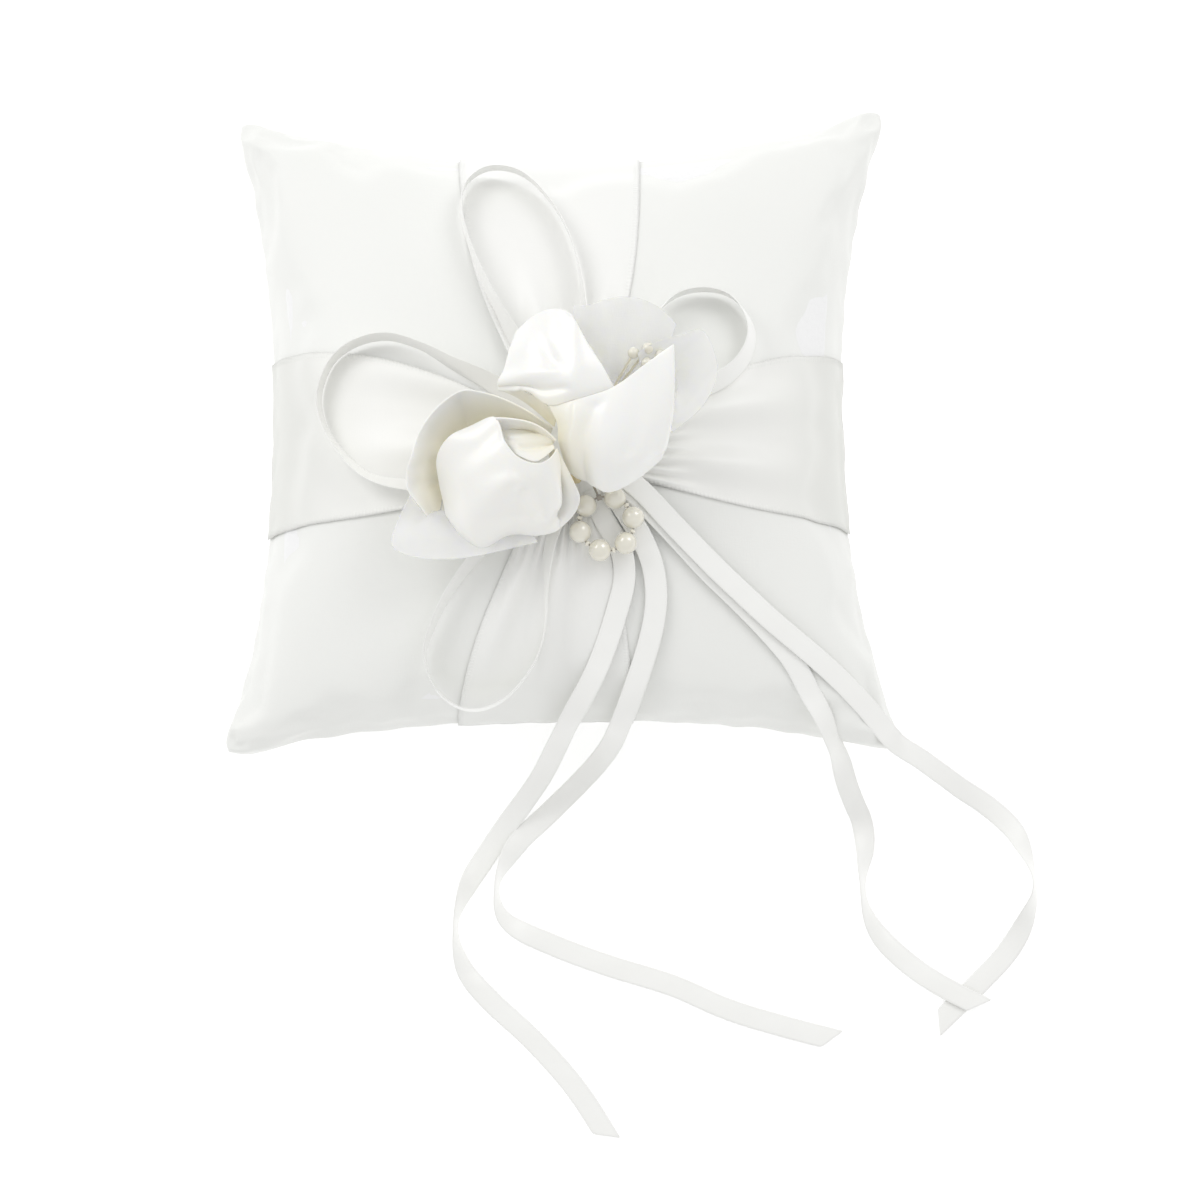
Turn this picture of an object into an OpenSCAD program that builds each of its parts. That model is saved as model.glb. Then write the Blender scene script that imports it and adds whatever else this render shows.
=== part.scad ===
// Ring bearer pillow: a stuffed satin square crossed by two wide satin bands,
// which are gathered under two fabric flowers, a bow of narrow ribbon with four
// long tails, and a small ring of threaded pearls that lifts on a wire eye.
// Millimetres. X runs to the right, Y to the back edge, Z up from the table.

/* [Pillow] */
// Corner to corner width of the sewn square
pillow_w = 178; // [160:1:220]
// Height of the side seam above the table
seam_z = 22; // [18:1:26]
// Rise of the top above the seam
crown_h = 28; // [22:1:34]
// Depth the underside would have if the table did not flatten it
belly_h = 24.5; // [23:0.5:28]
// How far the left edge pulls in at its middle
pinch_left = 10.5; // [4:0.5:14]
// How far the right edge pulls in at its middle
pinch_right = 11.5; // [4:0.5:14]
// How far the back edge pulls in at its middle
pinch_back = 12.5; // [4:0.5:14]
// How far the front edge pulls in at its middle
pinch_front = 6.5; // [4:0.5:14]
// Thickness of the satin cover
cover_t = 0.6; // [0.4:0.1:0.8]

/* [Wide bands] */
// Width of the wide satin band
band_w = 50; // [38:1:60]
// Width of a band where it is gathered under the flowers
gather_w = 16; // [12:1:24]
// Thickness of the band
band_t = 0.4; // [0.2:0.1:0.5]

/* [Narrow ribbon] */
// Width of the narrow satin ribbon
ribbon_w = 6; // [5:0.5:6.5]
// Thickness of the narrow satin ribbon
ribbon_t = 0.35; // [0.2:0.05:0.4]
// Radius of the knot under the flowers
knot_r = 5; // [4:0.5:5.5]

/* [Flowers] */
// Thickness of a petal
petal_t = 0.4; // [0.2:0.1:0.5]
// Radius of the round ends of the net pad under the flowers
pad_r = 7; // [5:0.5:8]
// Diameter of a stamen pearl
stamen_pearl_d = 3.1; // [2.4:0.1:3.2]
// Diameter of a stamen stem
stem_d = 0.7; // [0.5:0.1:0.9]

/* [Pearl ring] */
// Diameter of a pearl
pearl_d = 6; // [5.6:0.1:6]
// Radius of the circle through the pearl centres
ring_r = 7.3; // [7.3:0.1:7.6]
// Diameter of the wire
wire_d = 0.5; // [0.4:0.05:0.6]
// Diameter of a seed bead
bead_d = 1.5; // [1.3:0.1:1.7]
// Radial clearance of the wire in its hanging eye
eye_gap = 0.05; // [0.02:0.01:0.1]
// Downward tilt of the ring as it lies on the pillow
ring_tilt = 7; // [4:1:9]
// Turn of the ring about the vertical
ring_turn = 15; // [10:1:20]

/* [Hidden] */
$fn = 48;

// Colours
satin = [0.95, 0.96, 0.95];
band_satin = [0.97, 0.97, 0.98];
ribbon_satin = [0.98, 0.98, 0.99];
petal_satin = [0.96, 0.95, 0.90];
organza = [0.92, 0.93, 0.90];
pearl_ivory = [0.95, 0.93, 0.86];
thread_white = [0.93, 0.93, 0.92];
wire_grey = [0.45, 0.42, 0.38];

// ---- Pillow surface ----
half_w = pillow_w/2;
steps = 10;                 // grid cells from the middle of the pillow to an edge
corner_cut = 1.2;           // rounds the four corners
crown_power = 0.45;         // under a half gives full, steep sides
hub = [5, -16];             // middle of the gather, the bow and the flowers

function side_pinch(s) = s > 0 ? pinch_right : pinch_left;
function end_pinch(t) = t > 0 ? pinch_back : pinch_front;
function plan_x(s, t, d) =
    s*(half_w + d - side_pinch(s)*(1 - t*t)) - corner_cut*s*pow(abs(s*t), 8);
function plan_y(s, t, d) =
    t*(half_w + d - end_pinch(t)*(1 - s*s)) - corner_cut*t*pow(abs(s*t), 8);
function crown(s, t) = pow(max(0, (1 - s*s)*(1 - t*t)), crown_power);
function spread(i) = abs(i) == steps ? sign(i) : sin(90*i/steps);

// Top and underside of the pillow: plan pushed out by d, rise or depth changed by e
function top_grid(d, e) = [for (i = [-steps:steps]) let (s = spread(i))
    [for (j = [-steps:steps]) let (t = spread(j))
        [plan_x(s, t, d), plan_y(s, t, d), seam_z + (crown_h + e)*crown(s, t)]]];
function under_grid(d, e) = [for (i = [-steps:steps]) let (s = spread(i))
    [for (j = [-steps:steps]) let (t = spread(j))
        [plan_x(s, t, d), plan_y(s, t, d),
         max(-e, seam_z - (belly_h + e)*crown(s, t))]]];

// ---- Closed solid between two grids of points of the same size ----
function flat(rows) = [for (row = rows) each row];
function cell(a, b, c, d) = [[a, b, c], [a, c, d]];
// The faces start from the middle, where the solid is thickest
function sheet_faces(nu, nv, base, up) = [for (i = [0:nu - 2], j = [0:nv - 2])
    let (row = (i + floor(nu/2)) % (nu - 1), column = (j + floor(nv/2)) % (nv - 1),
         a = base + row*nv + column, b = a + 1, c = a + nv + 1, d = a + nv)
    each (up ? cell(a, b, c, d) : cell(a, d, c, b))];
function rim(nu, nv) = concat(
    [for (j = [0:nv - 1]) j], [for (i = [1:nu - 1]) i*nv + nv - 1],
    [for (j = [nv - 2:-1:0]) (nu - 1)*nv + j], [for (i = [nu - 2:-1:1]) i*nv]);

// A grid turned over about X, for a sheet that is built face up and then turned back
function turned_over(grid) = [for (row = grid)
    [for (j = [len(row) - 1:-1:0]) [row[j][0], -row[j][1], -row[j][2]]]];

module between(upper, lower) {
    nu = len(upper);
    nv = len(upper[0]);
    edge = rim(nu, nv);
    n = len(edge);
    polyhedron(concat(flat(lower), flat(upper)), concat(
        sheet_faces(nu, nv, 0, false), sheet_faces(nu, nv, nu*nv, true),
        [for (k = [0:n - 1]) let (a = edge[k], b = edge[(k + 1) % n])
            each cell(a, b, b + nu*nv, a + nu*nv)]));
}

// ---- Pillow ----
inner_gap = 0.4;            // between the cover and the filling
seam_allowance = 2.4;       // the filling stops this far inside the outline
rim_depth = 0.4;            // and is this thick there

module cover_front() {
    color(satin) between(top_grid(0, 0), top_grid(-cover_t - 0.2, -cover_t));
}

module cover_back() {
    color(satin) rotate([180, 0, 0])
        between(turned_over(under_grid(0, 0)), turned_over(under_grid(-cover_t - 0.2, -cover_t)));
}

module fibre_filling() {
    e = -cover_t - inner_gap;
    under = under_grid(-seam_allowance, e - rim_depth);
    color("white") between(top_grid(-seam_allowance, e),
        [for (row = under) [for (p = row) p - [0, 0, rim_depth]]]);
}

// Thread of the side seam, a closed line just inside the cover
module perimeter_stitching() {
    n = 8;
    stitch = 0.25;
    side = [for (i = [-n:n - 1]) i == -n ? -1 : sin(90*i/n)];
    outline = concat([for (q = side) [q, -1]], [for (q = side) [1, q]],
                     [for (q = side) [-q, 1]], [for (q = side) [-1, -q]]);
    m = len(outline);
    section = [[-1.35, -stitch], [-1.35, stitch], [-1.85, stitch], [-1.85, -stitch]];
    points = [for (p = outline, q = section)
        [plan_x(p.x, p.y, q.x), plan_y(p.x, p.y, q.x), seam_z + q.y]];
    color(thread_white) polyhedron(points, [for (i = [0:m - 1], j = [0:3])
        let (a = i*4 + j, b = i*4 + (j + 1) % 4,
             c = ((i + 1) % m)*4 + (j + 1) % 4, d = ((i + 1) % m)*4 + j)
        each cell(a, b, c, d)]);
}

// ---- Wide bands, seam to seam over the top ----
band_lift = 0.3;            // air under a band
stack_lift = 0.7;           // how far the upper band rides over the lower one
gather_reach = 42;          // distance over which the band narrows
across_end = -5.7;          // middle of the band at the side seams
lengthwise_end_back = -2.5; // middle of the band at the back seam
lengthwise_end_front = -5.7;
across_cells = 8;

function near_hub(r, reach) = exp(-(r/reach)*(r/reach));
function half_band(r) = (band_w - (band_w - gather_w)*near_hub(r, gather_reach))/2;
function middle(r, end, at_hub) = end + (at_hub - end)*near_hub(r, 50);

function across_point(i, v, d) = let (
    s = spread(i),
    r = s*(half_w - side_pinch(s)) - hub.x,
    y = middle(r, across_end, hub.y + 3) + v*half_band(r),
    t = y/(half_w - end_pinch(y)*(1 - s*s)))
    [plan_x(s, t, d), y, seam_z + (crown_h + d)*crown(s, t)];

function lengthwise_point(j, v, d) = let (
    t = spread(j),
    r = t*(half_w - end_pinch(t)) - hub.y,
    end = t > 0 ? lengthwise_end_back : lengthwise_end_front,
    x = middle(r, end, hub.x - 3) + v*half_band(r),
    s = x/(half_w - side_pinch(x)*(1 - t*t)),
    lift = d + stack_lift*near_hub(r, 26))
    [x, plan_y(s, t, lift), seam_z + (crown_h + lift)*crown(s, t)];

function across_grid(d) = [for (i = [-steps:steps])
    [for (k = [0:across_cells]) across_point(i, 2*k/across_cells - 1, d)]];
function lengthwise_grid(d) = [for (k = [0:across_cells])
    [for (j = [-steps:steps]) lengthwise_point(j, 2*k/across_cells - 1, d)]];

module band_across() {
    color(band_satin) between(across_grid(band_lift + band_t), across_grid(band_lift));
}

module band_lengthwise() {
    color(band_satin)
        between(lengthwise_grid(band_lift + band_t), lengthwise_grid(band_lift));
}

// ---- Knot of the bow and the thread that gathers the bands ----
knot_z = 51.6;
knot_h = 2.4;

module ribbon_knot() {
    color(ribbon_satin) translate([hub.x, hub.y, knot_z]) cylinder(r = knot_r, h = knot_h);
}

module gather_thread() {
    thread_r = 0.25;
    color(thread_white) translate([hub.x, hub.y, knot_z + 0.4])
        rotate_extrude() translate([knot_r + 0.3 + thread_r, 0]) circle(thread_r, $fn = 16);
}

// ---- Narrow ribbon ----
// Each point is [x, y, z, roll]: roll 0 lies flat, 90 stands on edge
tail_left_outer_route = [
    [9, -25, 50.5, 0], [11, -31.5, 49.4, 0], [14, -37, 48.4, 0], [16.5, -42, 47.3, 0],
    [17, -49, 45.9, 0], [15, -57, 44.1, 0], [11.5, -67, 40.7, 0], [8, -74.5, 37.7, 0],
    [3, -82.4, 31.2, 0], [-1.5, -88.7, 20, 0], [-5.8, -94.7, 10.5, 0],
    [-10.6, -100.3, 4.2, 0], [-15.4, -106.2, 1.4, 0], [-21.9, -115.8, 0.5, 0],
    [-26.3, -123.6, 0.5, 0], [-29.4, -134, 0.5, 0], [-27.2, -145.4, 0.5, 0],
    [-20.2, -154.2, 0.5, 0], [-10, -163.8, 0.5, 0], [-1.2, -173.4, 0.5, 0],
    [5, -181.6, 0.5, 0], [12.3, -193.5, 0.5, 0]];
tail_left_inner_route = [
    [13, -23.5, 50.9, 0], [17.5, -31, 49.7, 0], [21.5, -37.5, 48.2, 0], [24.5, -45, 46.5, 0],
    [25.5, -53, 44.7, 0], [24.5, -61, 42.5, 0], [22, -69.5, 39.4, 0], [18.6, -78.5, 34.5, 0],
    [15.6, -84.6, 27, 0], [13.1, -88, 18.5, 0], [9.3, -91.4, 10.5, 0],
    [4.6, -95.3, 4.8, 0], [-0.8, -100, 1.7, 0], [-6.1, -104.9, 0.6, 0],
    [-11.5, -110, 0.5, 0], [-15.4, -116, 0.5, 0], [-18.2, -123.6, 0.5, 0],
    [-15.8, -132.6, 0.5, 0], [-4, -138.9, 0.5, 0], [11.7, -145, 0.5, 0],
    [29, -150.6, 0.5, 0], [44, -157.3, 0.5, 0], [59, -162.1, 0.5, 0],
    [74.5, -166.3, 0.5, 0]];
tail_right_inner_route = [
    [14.2, -22, 51.4, 0], [20.8, -27.3, 50.4, 0], [29.5, -36, 47.9, 0],
    [39, -46, 44.7, 0], [46.5, -53, 42.2, 0], [52.5, -58.8, 40, 0], [58, -64.5, 37.7, 0],
    [62.5, -70, 35.3, 0], [66.5, -77.3, 32.2, 0], [69.5, -82.5, 30, 0],
    [72.2, -88.2, 25.5, 0], [74.8, -92.6, 18, 0], [76.9, -97.8, 11, 0],
    [79.2, -102.2, 5, 0], [81.2, -106.4, 1.6, 0], [81.9, -113.4, 0.5, 0],
    [80.9, -122, 0.5, 0], [81.8, -130.5, 0.5, 0], [85.6, -138, 0.5, 0],
    [93.6, -145.8, 0.6, 0], [102.1, -151.8, 1.5, 0], [114.1, -158.2, 1.4, 0]];
tail_right_outer_route = [
    [15, -20.8, 52.2, 0], [21.5, -25.6, 51.2, 0], [31, -35.5, 48.9, 0], [41.5, -46, 45.8, 0],
    [49, -52.8, 43.2, 0], [55.5, -58.5, 40.8, 0], [62.5, -64, 37.9, 0],
    [69, -69, 34.9, 0], [76, -75, 31.4, 0], [81.5, -80.4, 28.6, 0], [85.4, -84.8, 26.6, 0],
    [89.8, -89.4, 24, 0], [96.4, -92, 16.5, 0], [103, -95, 9, 0],
    [108.8, -98, 3.5, 0], [114.6, -101.3, 0.9, 0], [120.5, -106.5, 0.5, 0],
    [124.1, -112, 0.5, 0], [127.6, -124, 0.5, 0], [125.4, -133, 0.5, 0],
    [119.7, -142.5, 0.5, 0], [111.6, -151, 0.5, 0], [105.5, -157, 0.5, 0],
    [98.9, -163.2, 0.5, 0]];
loop_top_route = [
    [3, -9.5, 52.8, 10], [-3.5, 1.5, 53.1, 25], [-10, 13.5, 53, 45], [-16, 25, 52.5, 70],
    [-20.5, 35, 51, 80], [-24.2, 45.5, 48.7, 85], [-26.2, 56, 45.7, 85],
    [-24.5, 64, 42.9, 85], [-18.5, 68.5, 41.2, 85], [-10.5, 67, 41.8, 85],
    [-3.8, 60, 44.8, 85], [2, 49.5, 48.4, 85], [5.5, 37.5, 51.2, 85], [7, 24, 53, 75],
    [7.5, 9, 53.2, 40], [6.5, -9.5, 52.7, 10]];
loop_left_route = [
    [-1.5, -12, 52.6, 10], [-9, -2.5, 52.8, 25], [-18, 4, 52.9, 45], [-28.5, 9.8, 52.4, 70],
    [-37, 15, 51.1, 85], [-46, 18.3, 49.2, 85], [-54.5, 17.3, 47, 85], [-61, 13, 44.8, 85],
    [-64.5, 5, 43.3, 80], [-63.8, -3, 43.6, 75], [-59.5, -11.5, 45.3, 70],
    [-52, -19.5, 47.3, 60], [-42, -22.8, 49, 45], [-28, -23.2, 50.4, 30],
    [-14, -21.8, 51.5, 20], [-1.5, -18.5, 52.2, 10]];
loop_bottom_route = [
    [1, -22.2, 51.4, 10], [-6, -28.5, 51.3, 30], [-15, -35.5, 51, 50], [-23.2, -43.8, 49.5, 65],
    [-30, -53, 47.2, 75], [-34.3, -61.2, 44.7, 80], [-36.2, -68.5, 42, 85],
    [-34, -76, 39.4, 85], [-28.5, -81, 37.4, 85], [-21.5, -82, 36.8, 85],
    [-14, -78.6, 38.4, 85], [-7.5, -71.3, 42, 85], [-4.3, -63, 45.4, 85],
    [-3.7, -52, 48.7, 80], [-2.6, -40, 50.8, 55], [2.5, -24, 52, 15]];
loop_right_route = [
    [11, -11, 52.1, 10], [14.5, -2, 52.4, 25], [19, 10, 52.9, 50], [25, 21, 52.2, 75],
    [31.5, 28.3, 50.8, 85], [39.5, 30.6, 49.4, 85], [47, 28.6, 48.1, 80],
    [51.7, 21.5, 47.3, 70], [51, 14, 47.6, 60], [46, 7.2, 48.8, 50], [37.5, 2, 50.3, 40],
    [26, -5, 51.6, 30], [12, -14.5, 51.7, 10]];

// Flat section of the ribbon with rounded selvedges, [across, through]
ribbon_section = [for (p = [[-0.5, -0.2], [-0.3, -0.5], [0.3, -0.5], [0.5, -0.2],
                            [0.5, 0.2], [0.3, 0.5], [-0.3, 0.5], [-0.5, 0.2]])
    [p.x*ribbon_w, p.y*ribbon_t]];

function spot(p) = [p.x, p.y, p.z];
function unit(v) = v/norm(v);
function heading(route, i) = unit(spot(route[min(i + 1, len(route) - 1)])
                                  - spot(route[max(i - 1, 0)]));
function ribbon_ring(route, i) = let (
    ahead = heading(route, i),
    side = unit(cross(ahead, [0, 0, 1])),
    lift = cross(side, ahead),
    roll = route[i][3],
    wide = side*cos(roll) + lift*sin(roll),
    thick = lift*cos(roll) - side*sin(roll))
    [for (q = ribbon_section) spot(route[i]) + q.x*wide + q.y*thick];

module ribbon(route) {
    sides = len(ribbon_section);
    rings = len(route);
    last = (rings - 1)*sides;
    color(ribbon_satin) polyhedron([for (i = [0:rings - 1]) each ribbon_ring(route, i)], concat(
        [for (i = [0:rings - 2], j = [0:sides - 1])
            let (k = (j + 1) % sides, a = i*sides + j, b = i*sides + k,
                 c = (i + 1)*sides + k, d = (i + 1)*sides + j)
            each (j < sides/2 ? cell(a, b, c, d) : cell(b, c, d, a))],
        [for (j = [1:sides - 2]) [0, j + 1, j]],
        [for (j = [1:sides - 2]) [last, last + j, last + j + 1]]));
}

module tail_left_outer() { ribbon(tail_left_outer_route); }
module tail_left_inner() { ribbon(tail_left_inner_route); }
module tail_right_inner() { ribbon(tail_right_inner_route); }
module tail_right_outer() { ribbon(tail_right_outer_route); }
module loop_top() { ribbon(loop_top_route); }
module loop_left() { ribbon(loop_left_route); }
module loop_bottom() { ribbon(loop_bottom_route); }
module loop_right() { ribbon(loop_right_route); }

// ---- Flowers ----
rose_middle = [-15, -22];
blossom_middle = [15, -4];
pad_z = 54.2;
pad_h = 0.8;
petal_z = pad_z + pad_h + 0.4;

// Net pad that both flowers are glued to
module flower_pad() {
    color(organza) translate([0, 0, pad_z]) linear_extrude(pad_h) hull() {
        translate(rose_middle + [2, 1]) circle(pad_r);
        translate(blossom_middle - [3, 2]) circle(pad_r);
    }
}

module glue_dab() {
    color([0.85, 0.78, 0.55]) translate([4.4, -23, 54.6]) sphere(1.7);
}

// A cupped petal: centre, heading and half spread in degrees, radius at the base and
// at the rim, height of the rim
function petal_point(mid, az, half, r0, r1, z1, u, v, d) = let (
    a = az + half*u*(1 - 0.35*v*v),
    rho = r0 + (r1 - r0)*pow(sin(90*v), 0.8) + d,
    z = petal_z + (z1 - petal_z)*v*(1 - 0.3*u*u*v))
    [mid.x + rho*cos(a), mid.y + rho*sin(a), z];

module petal(mid, az, half, r0, r1, z1) {
    nu = 10;
    nv = 6;
    module_grid = function (d) [for (i = [0:nu]) [for (j = [0:nv])
        petal_point(mid, az, half, r0, r1, z1, 2*i/nu - 1, j/nv, d)]];
    between(module_grid(petal_t), module_grid(0));
}

module rose_bud_core() {
    color(petal_satin) translate([rose_middle.x, rose_middle.y, petal_z])
        rotate_extrude() polygon([[0, 0], [2.4, 0], [4.6, 8], [3.6, 16], [1.2, 18], [0, 18]]);
}

module rose_bud_wrap() { color(petal_satin) petal(rose_middle, 45, 150, 4.4, 11, 72.6); }
module rose_right_petal() { color(petal_satin) petal(rose_middle, -25, 38, 5.4, 18.4, 71.5); }
module rose_front_petal() { color(petal_satin) petal(rose_middle, 250, 75, 6.3, 20, 71.5); }
module rose_left_petal() { color(petal_satin) petal(rose_middle, 160, 70, 7.2, 22.5, 70.5); }
module rose_organza_petal() { color(organza) petal(rose_middle, 232, 46, 8.1, 27, 61); }

module blossom_inner_petal() { color(petal_satin) petal(blossom_middle, 190, 35, 5.4, 12, 72); }
module blossom_front_petal() { color(petal_satin) petal(blossom_middle, 280, 72, 6.3, 17, 71); }
module blossom_left_petal() { color(petal_satin) petal(blossom_middle, 135, 58, 7.2, 20, 70.5); }
module blossom_organza_right() { color(organza) petal(blossom_middle, 15, 40, 8.1, 23, 66); }
module blossom_organza_back() { color(organza) petal(blossom_middle, 75, 45, 9, 25.5, 66); }

// ---- Stamens: waxed thread stems with a pearl on each ----
stem_feet = [[13, -1.5], [14.2, -0.6], [14.4, -3], [15.6, -2.2]];
stem_tips = [[20, 7.6, 67], [23.8, 8.6, 68], [23.5, 5, 66.4], [27.2, 6.6, 67.4]];
stem_inset = 0.9;           // how far a stem reaches into its pearl
stem_fit = 0.02;            // glue gap round the stem

module along(a, b) {
    v = b - a;
    translate(a) rotate([0, acos(v.z/norm(v)), atan2(v.y, v.x)]) children();
}

function stem_foot(i) = [stem_feet[i].x, stem_feet[i].y, pad_z + pad_h + 0.4];
function stem_length(i) = norm(stem_tips[i] - stem_foot(i)) - stamen_pearl_d/2 + stem_inset;

module stamen_stem(i) {
    color([0.93, 0.90, 0.80]) along(stem_foot(i), stem_tips[i])
        cylinder(d = stem_d, h = stem_length(i));
}

module stamen_pearl(i) {
    color(pearl_ivory) difference() {
        translate(stem_tips[i]) sphere(d = stamen_pearl_d);
        along(stem_foot(i), stem_tips[i])
            cylinder(d = stem_d + 2*stem_fit, h = stem_length(i) + stem_fit);
    }
}

// ---- Pearl ring ----
// The ring is drawn with its hinge at the origin, along X, and its centre at -Y.
// Six pearls: five equal gaps with seed beads, and one wider gap for the eye.
hinge_at = [10.5, -28.3, 53.6];
pearl_step = 58.6;          // degrees between neighbouring pearls
hinge_gap = 360 - 5*pearl_step;
wire_fit = 0.03;            // a bead's bore is this much larger in radius than the wire
bead_l = 0.9;
eye_l = 1.2;
eye_r = 0.8;

function pearl_angle(i) = 90 + hinge_gap/2 + i*pearl_step;

module placed_ring() {
    translate(hinge_at) rotate([0, 0, ring_turn]) rotate([ring_tilt, 0, 0])
        translate([0, -ring_r, 0]) children();
}

// The round wire, or the room that a bead leaves for it
module wire_hoop(r) {
    rotate_extrude() translate([ring_r, 0]) circle(r);
}

module ring_wire() {
    color(wire_grey) placed_ring() wire_hoop(wire_d/2);
}

module ring_pearl(i) {
    color(pearl_ivory) placed_ring() difference() {
        rotate(pearl_angle(i)) translate([ring_r, 0, 0]) rotate(45) sphere(d = pearl_d);
        wire_hoop(wire_d/2 + wire_fit);
    }
}

module seed_bead(i) {
    color(pearl_ivory) placed_ring() rotate(pearl_angle(i) + pearl_step/2)
        translate([ring_r, 0, 0]) rotate([90, 0, 0]) difference() {
            rotate_extrude() polygon([[0, -bead_l/2], [bead_d/2 - 0.2, -bead_l/2],
                [bead_d/2, -bead_l/5], [bead_d/2, bead_l/5], [bead_d/2 - 0.2, bead_l/2],
                [0, bead_l/2]]);
            cylinder(r = wire_d/2 + eye_gap, h = 2*bead_l, center = true);
        }
}

// Eye that the top span of the ring's wire turns in, on a stem from the knot
module hanging_eye() {
    reach = norm([hub.x - hinge_at.x, hub.y - hinge_at.y]) - knot_r - 0.1;
    heading_out = atan2(hub.y - hinge_at.y, hub.x - hinge_at.x);
    color(wire_grey) translate(hinge_at) difference() {
        union() {
            rotate([0, 90, ring_turn]) cylinder(r = eye_r, h = eye_l, center = true);
            rotate([0, 90, heading_out]) cylinder(d = 0.6, h = reach);
        }
        rotate([0, 90, ring_turn]) cylinder(r = wire_d/2 + eye_gap, h = 3*eye_l, center = true);
    }
}

cover_front();
cover_back();
fibre_filling();
perimeter_stitching();
band_across();
band_lengthwise();
gather_thread();
ribbon_knot();
loop_top();
loop_left();
loop_bottom();
loop_right();
tail_left_outer();
tail_left_inner();
tail_right_inner();
tail_right_outer();
flower_pad();
glue_dab();
rose_bud_core();
rose_bud_wrap();
rose_front_petal();
rose_left_petal();
rose_right_petal();
rose_organza_petal();
blossom_left_petal();
blossom_front_petal();
blossom_inner_petal();
blossom_organza_back();
blossom_organza_right();
for (i = [1:4]) stamen_stem(i - 1);
for (i = [1:4]) stamen_pearl(i - 1);
hanging_eye();
ring_wire();
for (i = [1:6]) ring_pearl(i - 1);
for (i = [1:5]) seed_bead(i - 1);
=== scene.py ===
import math

import bmesh
import bpy
from mathutils import Matrix, Vector, noise
from mathutils.bvhtree import BVHTree


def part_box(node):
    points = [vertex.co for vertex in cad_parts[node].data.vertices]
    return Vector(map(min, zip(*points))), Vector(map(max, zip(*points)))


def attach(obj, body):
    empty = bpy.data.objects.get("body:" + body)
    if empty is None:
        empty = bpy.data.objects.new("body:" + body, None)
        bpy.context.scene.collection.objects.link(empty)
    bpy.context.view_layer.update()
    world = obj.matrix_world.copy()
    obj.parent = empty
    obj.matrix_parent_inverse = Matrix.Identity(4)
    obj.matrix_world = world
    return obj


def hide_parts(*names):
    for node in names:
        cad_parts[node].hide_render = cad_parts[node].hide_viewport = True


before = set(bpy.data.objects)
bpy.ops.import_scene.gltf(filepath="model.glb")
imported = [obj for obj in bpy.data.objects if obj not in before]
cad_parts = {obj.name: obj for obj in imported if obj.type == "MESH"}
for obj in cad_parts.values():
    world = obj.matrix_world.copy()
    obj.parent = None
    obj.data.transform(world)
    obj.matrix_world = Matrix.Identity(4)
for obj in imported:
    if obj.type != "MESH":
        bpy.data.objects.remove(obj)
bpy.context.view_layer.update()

# ---- Table, lights and camera ----
# The pillow lies on a white table under a bright tent. Two soft boxes stand at the
# upper left and upper right, so satin and pearls show a soft light from each.
mm = 0.001
scene = bpy.context.scene
scene.view_settings.view_transform = "Standard"

world = bpy.data.worlds.new("tent")
world.use_nodes = True
world.node_tree.nodes["Background"].inputs["Color"].default_value = (1.0, 1.0, 1.0, 1)
world.node_tree.nodes["Background"].inputs["Strength"].default_value = 0.78
scene.world = world


def soft_box(name, place, aim, width, power):
    lamp = bpy.data.lights.new(name, "AREA")
    lamp.shape = "SQUARE"
    lamp.size = width
    lamp.energy = power
    box = bpy.data.objects.new(name, lamp)
    box.location = place
    box.rotation_euler = (Vector(aim) - Vector(place)).to_track_quat("-Z", "Y").to_euler()
    scene.collection.objects.link(box)


soft_box("soft_box_left", (-0.75, 0.55, 0.85), (0, 0, 0), 0.6, 3.3)
soft_box("soft_box_right", (0.70, 0.60, 0.95), (0, 0, 0), 0.6, 2.5)

table_bm = bmesh.new()
bmesh.ops.create_grid(table_bm, x_segments=8, y_segments=8, size=3)
table_mesh = bpy.data.meshes.new("table")
table_bm.to_mesh(table_mesh)
table_bm.free()
table = bpy.data.objects.new("table", table_mesh)
scene.collection.objects.link(table)
table_paint = bpy.data.materials.new("table_paint")
table_paint.use_nodes = True
paint = table_paint.node_tree.nodes["Principled BSDF"]
paint.inputs["Base Color"].default_value = (1.0, 1.0, 1.0, 1)
paint.inputs["Roughness"].default_value = 0.9
paint.inputs["Specular IOR Level"].default_value = 0.1
paint.inputs["Emission Color"].default_value = (1.0, 1.0, 1.0, 1)
paint.inputs["Emission Strength"].default_value = 0.25
table_mesh.materials.append(table_paint)

# The camera looks down at 76 degrees with a long lens, from 1.3 m
tilt = math.radians(14)
roll = math.radians(-0.54)
aim_at = Vector((0.0105, -0.048, 0.020))
camera_data = bpy.data.cameras.new("camera")
camera_data.lens = 143.7
camera_data.sensor_width = 36
camera_data.clip_start = 0.05
camera = bpy.data.objects.new("camera", camera_data)
camera.matrix_world = (Matrix.Translation(aim_at)
                       @ Matrix.Rotation(tilt, 4, "X") @ Matrix.Rotation(roll, 4, "Z")
                       @ Matrix.Translation((0, 0, 1.3)))
scene.collection.objects.link(camera)
scene.camera = camera

# ---- Narrow ribbon: four tails ----
# Double-face satin ribbon, 6 mm wide, with woven selvedges and slanted cut ends.
# The tails leave the knot under the flowers, run over the front and lie on the table.
ribbon_w = 6
ribbon_t = 0.32
# How much longer one edge of a cut end is than the other
cut_slant = 5
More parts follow.
